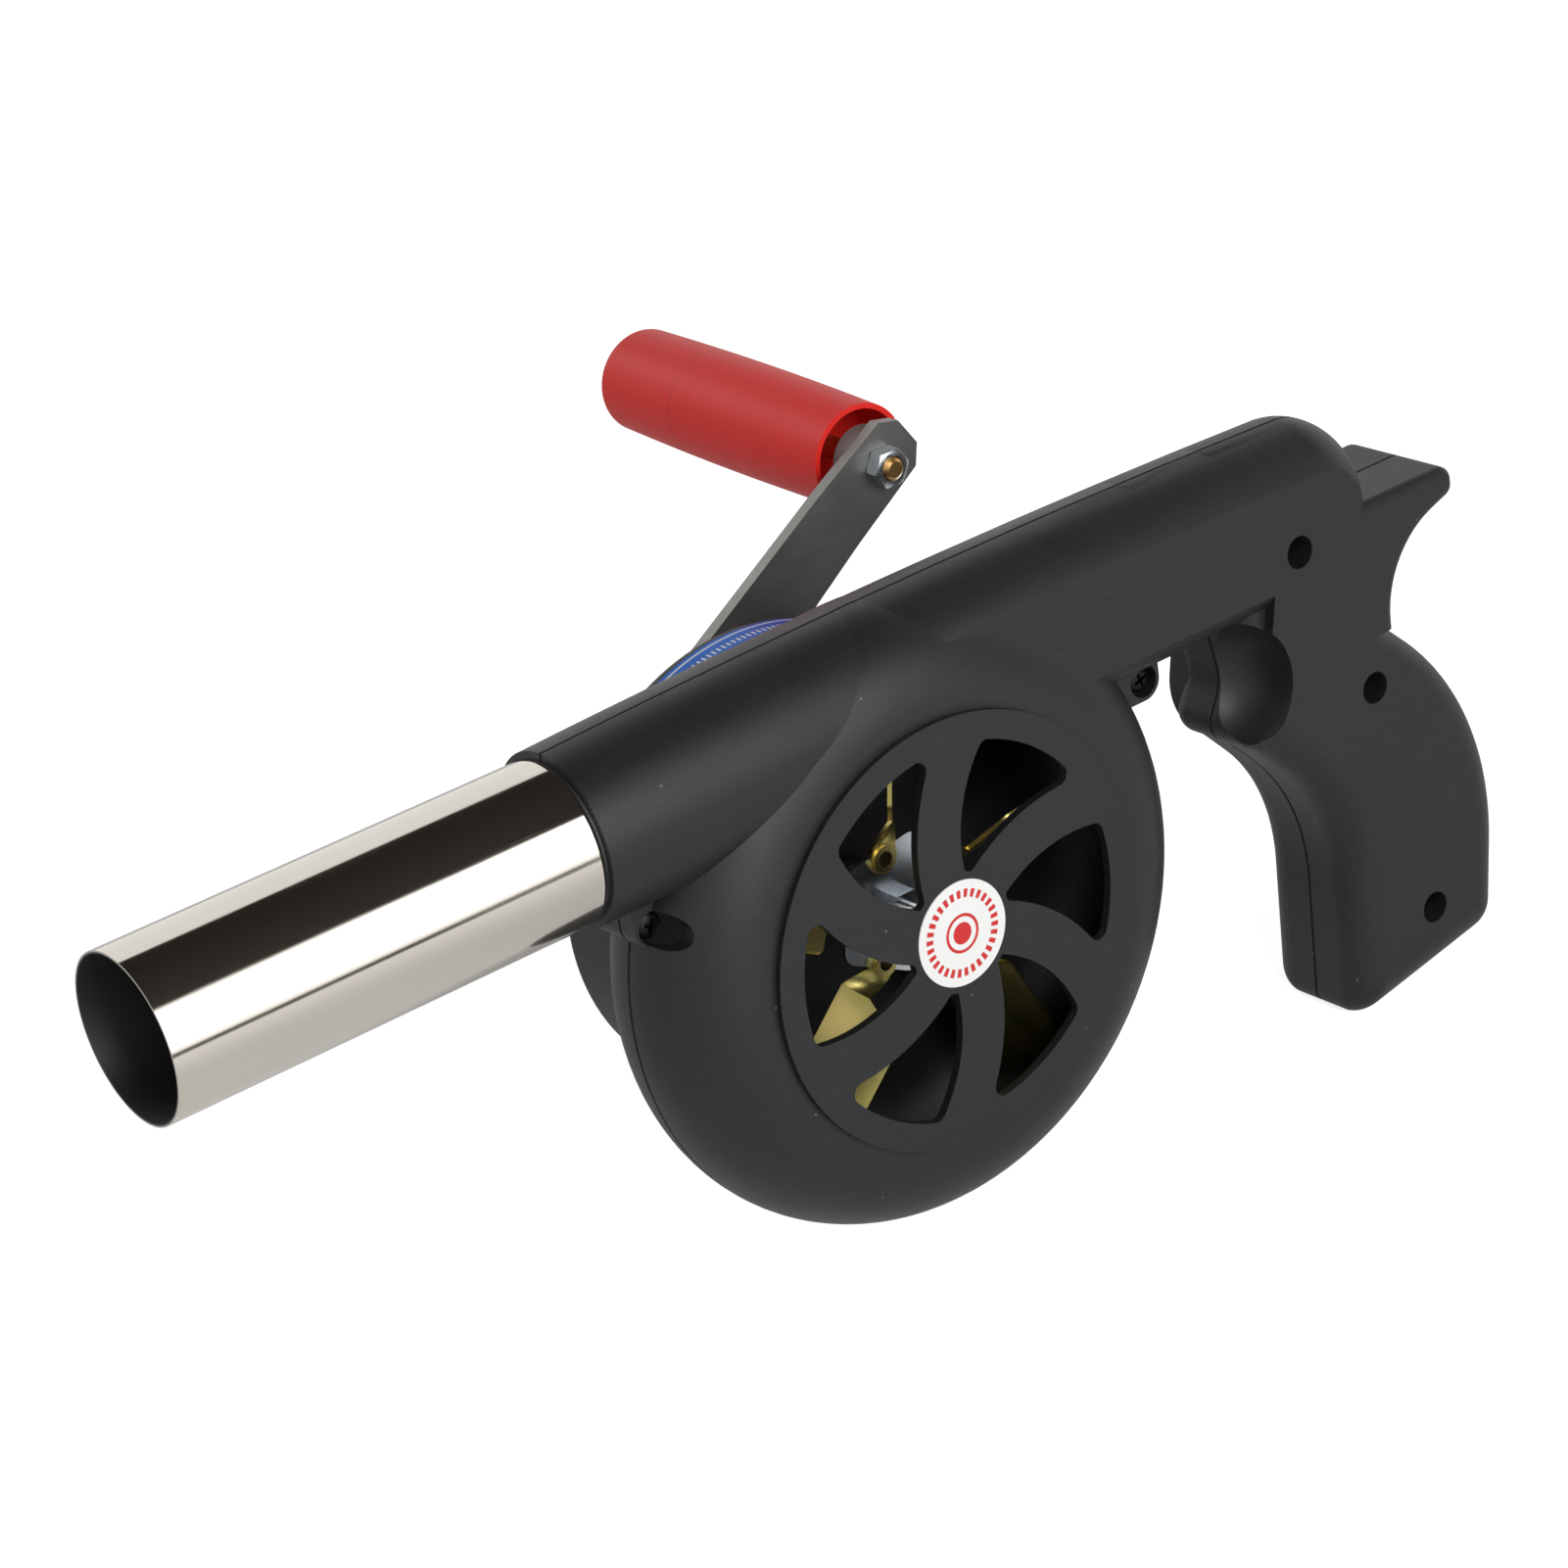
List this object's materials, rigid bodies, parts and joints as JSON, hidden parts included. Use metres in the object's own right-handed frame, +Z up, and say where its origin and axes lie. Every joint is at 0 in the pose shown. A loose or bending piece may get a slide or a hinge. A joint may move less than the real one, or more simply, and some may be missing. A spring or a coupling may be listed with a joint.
{
  "type": "hand crank blower",
  "caption": "Pistol-shaped hand-cranked air blower: moulded two-piece housing, steel nozzle, slotted intake grille, bladed impeller, gear case and side crank with a turning handle.",
  "frame": {"origin": "centre of the nozzle tube's mouth", "axes": "+X runs back along the nozzle and barrel towards the grip, +Y points to the crank side, +Z is up, away from the grip"},
  "size_m": [0.3361, 0.1728, 0.1547],
  "materials": {
    "black_plastic": "satin moulded",
    "polished_steel": "polished",
    "white_label": "printed label",
    "blue_label": "printed band",
    "dark_screws": "blackened",
    "bronze": "sintered",
    "bright_steel": "ground",
    "grey_zinc": "zinc plated",
    "yellow_zinc": "yellow passivated",
    "white_gear_plastic": "natural moulded",
    "arm_steel": "grey phosphated",
    "bolt_brass": "yellow passivated",
    "red_plastic": "glossy moulded"
  },
  "bodies": {
    "housing": {"front_shell": "black_plastic", "rear_shell": "black_plastic", "nozzle_tube": "polished_steel", "gear_cover": "black_plastic", "grille_label": "white_label", "cover_label": "blue_label", "grip_screws": "dark_screws", "ear_screws": "dark_screws", "cover_screws": "dark_screws", "impeller_bushes": "bronze", "crank_bush": "bronze", "idler_pin": "bright_steel"},
    "impeller": {"impeller_shaft": "bright_steel", "impeller_collar": "bright_steel", "impeller_hub_plate": "grey_zinc", "impeller_eyelets": "yellow_zinc", "impeller_nut": "grey_zinc", "impeller_pinion": "white_gear_plastic", "impeller_blade_1": "yellow_zinc", "impeller_blade_2": "yellow_zinc", "impeller_blade_3": "yellow_zinc", "impeller_blade_4": "yellow_zinc", "impeller_blade_5": "yellow_zinc"},
    "idler": {"idler_gear": "white_gear_plastic"},
    "crank": {"crank_gear": "white_gear_plastic", "crank_shaft": "bright_steel", "crank_arm": "arm_steel", "crank_washer": "grey_zinc", "crank_nut": "grey_zinc", "handle_bolt": "bolt_brass", "handle_nut": "grey_zinc", "handle_spacer": "grey_zinc"},
    "handle": {"handle_grip": "red_plastic"}
  },
  "joints": [
    {"name": "crank_turn", "type": "hinge", "parent": "housing", "child": "crank", "pos_m": [0.16113, 0.05, -0.02538], "axis": [0, 1, 0], "continuous": true},
    {"name": "idler_turn", "type": "hinge", "parent": "housing", "child": "idler", "pos_m": [0.15178, 0.03, -0.04856], "axis": [0, 1, 0], "continuous": true},
    {"name": "impeller_turn", "type": "hinge", "parent": "housing", "child": "impeller", "pos_m": [0.1747, 0, -0.0467], "axis": [0, 1, 0], "continuous": true},
    {"name": "handle_spin", "type": "hinge", "parent": "crank", "child": "handle", "pos_m": [0.2307, 0.05796, 0.02014], "axis": [0.0336, 0.9992, 0.022], "continuous": true}
  ],
  "couplings": [
    {"joint": "idler_turn", "follows": "crank_turn", "ratio": -3.1667},
    {"joint": "impeller_turn", "follows": "crank_turn", "ratio": 11.4}
  ]
}
